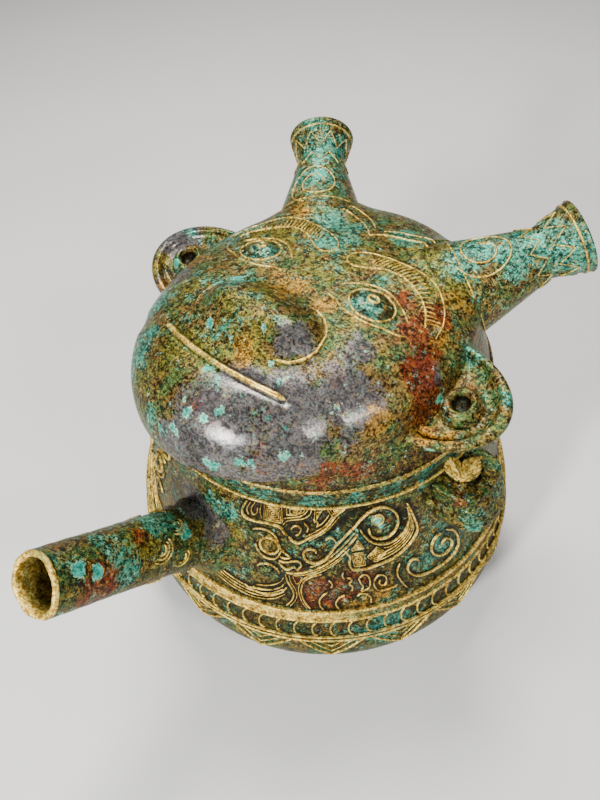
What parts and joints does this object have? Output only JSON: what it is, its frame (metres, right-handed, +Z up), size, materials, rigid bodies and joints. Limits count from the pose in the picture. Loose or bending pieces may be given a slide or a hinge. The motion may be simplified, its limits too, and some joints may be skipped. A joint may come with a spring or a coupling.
{
  "type": "spouted wine vessel with horned mask lid",
  "caption": "Hollow round bronze vessel with a tubular spout and side lugs, closed by a lift-off lid cast as a horned mask with trumpet horns and scroll ears.",
  "frame": {"origin": "on the ground under the middle of the whole object's bounding box; the vessel's own axis stands a little behind it, at the foot mount", "axes": "+Z up, -Y the way the spout and the mask's chin point, X across from lug to lug"},
  "size_m": [0.1862, 0.2432, 0.179],
  "materials": {
    "vessel_bronze": "cast bronze with a dark brown and green patina, ochre on the raised lines",
    "lid_bronze": "cast bronze, smoother than the body, grey-brown with turquoise patches and a soft shine"
  },
  "bodies": {
    "root": {"vessel": "vessel_bronze", "spout": "vessel_bronze", "lug_right": "vessel_bronze", "lug_left": "vessel_bronze", "lid": "lid_bronze"}
  },
  "joints": []
}
